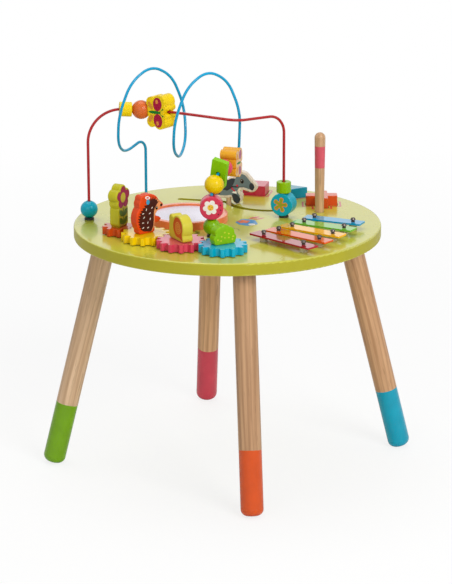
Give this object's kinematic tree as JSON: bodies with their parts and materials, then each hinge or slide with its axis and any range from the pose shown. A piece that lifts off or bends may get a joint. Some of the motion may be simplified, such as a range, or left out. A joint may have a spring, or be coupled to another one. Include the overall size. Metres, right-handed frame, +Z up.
{
  "type": "toddler activity table",
  "caption": "Round wooden toddler activity table on splayed legs, with bead wires, gears with figures, chime bars, a drum, a sliding puppy, shape blocks and a beater.",
  "frame": {"origin": "on the floor, under the centre of the round board", "axes": "+Z up; the four legs stand on the X and Y axes, with the chime bars towards +X -Y, the gears towards -X -Y and the puppy's groove towards +Y"},
  "size_m": [0.5406, 0.5406, 0.5789],
  "materials": {
    "tabletop": "lime green paint, satin",
    "leg_right": "clear lacquered beech with a painted tip",
    "leg_back": "clear lacquered beech with a painted tip",
    "leg_left": "clear lacquered beech with a painted tip",
    "leg_front": "clear lacquered beech with a painted tip",
    "leg_plates": "black powder coat",
    "leg_bolts": "zinc",
    "leg_plate_screws": "blackened",
    "red_wire": "red enamel",
    "blue_wire": "blue enamel",
    "wire_grommets": "black rubber",
    "wire_nuts": "zinc",
    "drum_ring": "orange-red paint, gloss",
    "drum_head": "white drum skin",
    "gear_screws": "zinc",
    "gear_washers": "nylon",
    "bar_red": "enamelled steel, gloss",
    "bar_orange": "enamelled steel, gloss",
    "bar_yellow": "enamelled steel, gloss",
    "bar_green": "enamelled steel, gloss",
    "bar_blue": "enamelled steel, gloss",
    "bar_sleeves": "nylon",
    "bar_screws": "blackened",
    "gear_pink": "pink paint, gloss",
    "snail_figure": "painted board, printed face",
    "gear_blue": "blue paint, gloss",
    "grub_figure": "painted board, printed face",
    "gear_yellow": "yellow paint, gloss",
    "hedgehog_figure": "painted board, printed face",
    "gear_orange": "orange paint, gloss",
    "flower_figure": "painted board, printed face",
    "bead_turquoise_ball": "painted hardwood, gloss",
    "bead_yellow_cylinder": "painted hardwood, gloss",
    "bead_orange_ball": "painted hardwood, gloss",
    "bead_yellow_butterfly": "painted hardwood, gloss",
    "bead_turquoise_disc": "painted hardwood, gloss",
    "bead_green_cylinder": "painted hardwood, gloss",
    "bead_green_ball": "painted hardwood, gloss",
    "bead_pink_disc": "painted hardwood, gloss",
    "bead_yellow_ball": "painted hardwood, gloss",
    "bead_green_block": "painted hardwood, gloss",
    "bead_pink_ball": "painted hardwood, gloss",
    "bead_orange_butterfly": "painted hardwood, gloss",
    "puppy_peg": "bare dowel",
    "puppy_retainer": "bare board",
    "puppy_screw": "zinc",
    "puppy": "printed plywood with bare edges",
    "block_square": "painted board, gloss",
    "block_triangle": "painted board, gloss",
    "block_cross": "painted board, gloss",
    "beater": "lacquered beech with a painted band"
  },
  "bodies": {
    "table": {"tabletop": "tabletop", "leg_right": "leg_right", "leg_back": "leg_back", "leg_left": "leg_left", "leg_front": "leg_front", "leg_plates": "leg_plates", "leg_bolts": "leg_bolts", "leg_plate_screws": "leg_plate_screws", "red_wire": "red_wire", "blue_wire": "blue_wire", "wire_grommets": "wire_grommets", "wire_nuts": "wire_nuts", "drum_ring": "drum_ring", "drum_head": "drum_head", "gear_screws": "gear_screws", "gear_washers": "gear_washers", "bar_red": "bar_red", "bar_orange": "bar_orange", "bar_yellow": "bar_yellow", "bar_green": "bar_green", "bar_blue": "bar_blue", "bar_sleeves": "bar_sleeves", "bar_screws": "bar_screws"},
    "pink_gear": {"gear_pink": "gear_pink", "snail_figure": "snail_figure"},
    "blue_gear": {"gear_blue": "gear_blue", "grub_figure": "grub_figure"},
    "yellow_gear": {"gear_yellow": "gear_yellow", "hedgehog_figure": "hedgehog_figure"},
    "orange_gear": {"gear_orange": "gear_orange", "flower_figure": "flower_figure"},
    "turquoise_ball": {"bead_turquoise_ball": "bead_turquoise_ball"},
    "yellow_cylinder": {"bead_yellow_cylinder": "bead_yellow_cylinder"},
    "orange_ball": {"bead_orange_ball": "bead_orange_ball"},
    "yellow_butterfly": {"bead_yellow_butterfly": "bead_yellow_butterfly"},
    "turquoise_disc": {"bead_turquoise_disc": "bead_turquoise_disc"},
    "green_cylinder": {"bead_green_cylinder": "bead_green_cylinder"},
    "green_ball": {"bead_green_ball": "bead_green_ball"},
    "pink_disc": {"bead_pink_disc": "bead_pink_disc"},
    "yellow_ball": {"bead_yellow_ball": "bead_yellow_ball"},
    "green_block": {"bead_green_block": "bead_green_block"},
    "pink_ball": {"bead_pink_ball": "bead_pink_ball"},
    "orange_butterfly": {"bead_orange_butterfly": "bead_orange_butterfly"},
    "puppy_slider": {"puppy_peg": "puppy_peg", "puppy_retainer": "puppy_retainer", "puppy_screw": "puppy_screw"},
    "puppy": {"puppy": "puppy"},
    "square_block": {"block_square": "block_square"},
    "triangle_block": {"block_triangle": "block_triangle"},
    "cross_block": {"block_cross": "block_cross"},
    "beater": {"beater": "beater"}
  },
  "joints": [
    {"name": "pink_gear_spin", "type": "hinge", "parent": "table", "child": "pink_gear", "pos_m": [-0.08164, -0.12673, 0.352], "axis": [0, 0, 1], "continuous": true},
    {"name": "blue_gear_spin", "type": "hinge", "parent": "table", "child": "blue_gear", "pos_m": [-0.02665, -0.15621, 0.352], "axis": [0, 0, 1], "continuous": true},
    {"name": "yellow_gear_spin", "type": "hinge", "parent": "table", "child": "yellow_gear", "pos_m": [-0.12637, -0.08322, 0.352], "axis": [0, 0, 1], "continuous": true},
    {"name": "orange_gear_spin", "type": "hinge", "parent": "table", "child": "orange_gear", "pos_m": [-0.15874, -0.04151, 0.352], "axis": [0, 0, 1], "continuous": true},
    {"name": "turquoise_ball_slide", "type": "slide", "parent": "table", "child": "turquoise_ball", "axis": [0, 0, 1], "range_m": [0, 0.08]},
    {"name": "yellow_cylinder_slide", "type": "slide", "parent": "table", "child": "yellow_cylinder", "axis": [0.9982, -0.03, -0.0519], "range_m": [-0.004, 0]},
    {"name": "orange_ball_spin", "type": "hinge", "parent": "table", "child": "orange_ball", "pos_m": [-0.11825, 0.04039, 0.51152], "axis": [0.9982, -0.03, -0.0519], "continuous": true},
    {"name": "yellow_butterfly_slide", "type": "slide", "parent": "table", "child": "yellow_butterfly", "axis": [0.7063, -0.7067, 0.0421], "range_m": [0, 0.014]},
    {"name": "turquoise_disc_slide", "type": "slide", "parent": "table", "child": "turquoise_disc", "axis": [0, 0, 1], "range_m": [0, 0.032]},
    {"name": "green_cylinder_slide", "type": "slide", "parent": "turquoise_disc", "child": "green_cylinder", "axis": [0, 0, 1], "range_m": [0, 0.032]},
    {"name": "green_ball_spin", "type": "hinge", "parent": "table", "child": "green_ball", "pos_m": [-0.03208, -0.07515, 0.36684], "axis": [0, 0, 1], "continuous": true},
    {"name": "pink_disc_spin", "type": "hinge", "parent": "table", "child": "pink_disc", "pos_m": [-0.03208, -0.07515, 0.39517], "axis": [0, 0, 1], "continuous": true},
    {"name": "yellow_ball_spin", "type": "hinge", "parent": "table", "child": "yellow_ball", "pos_m": [-0.0275, -0.06898, 0.4255], "axis": [0.3261, 0.4398, 0.8368], "continuous": true},
    {"name": "green_block_spin", "type": "hinge", "parent": "table", "child": "green_block", "pos_m": [-0.01875, -0.05658, 0.43915], "axis": [0.5397, 0.8054, 0.245], "continuous": true},
    {"name": "pink_ball_spin", "type": "hinge", "parent": "table", "child": "pink_ball", "pos_m": [-0.01021, -0.04382, 0.44303], "axis": [0.5397, 0.8054, 0.245], "continuous": true},
    {"name": "orange_butterfly_slide", "type": "slide", "parent": "table", "child": "orange_butterfly", "axis": [0.4408, 0.8956, -0.06], "range_m": [0, 0.003]},
    {"name": "puppy_ride", "type": "hinge", "parent": "table", "child": "puppy_slider", "pos_m": [0.0791, 0.11819, 0.352], "axis": [0, 0, 1], "range_deg": [0, 70]},
    {"name": "puppy_turn", "type": "hinge", "parent": "puppy_slider", "child": "puppy", "pos_m": [0.01617, 0.10652, 0.352], "axis": [0, 0, 1], "continuous": true},
    {"name": "square_block_lift", "type": "slide", "parent": "table", "child": "square_block", "axis": [0, 0, 1], "range_m": [0, 0.04]},
    {"name": "triangle_block_lift", "type": "slide", "parent": "table", "child": "triangle_block", "axis": [0, 0, 1], "range_m": [0, 0.04]},
    {"name": "cross_block_lift", "type": "slide", "parent": "table", "child": "cross_block", "axis": [0, 0, 1], "range_m": [0, 0.04]},
    {"name": "beater_lift", "type": "slide", "parent": "table", "child": "beater", "axis": [0, 0, 1], "range_m": [0, 0.05]}
  ],
  "couplings": [
    {"joint": "blue_gear_spin", "follows": "pink_gear_spin", "ratio": -1},
    {"joint": "yellow_gear_spin", "follows": "pink_gear_spin", "ratio": -1},
    {"joint": "orange_gear_spin", "follows": "pink_gear_spin", "ratio": 1.4444}
  ]
}
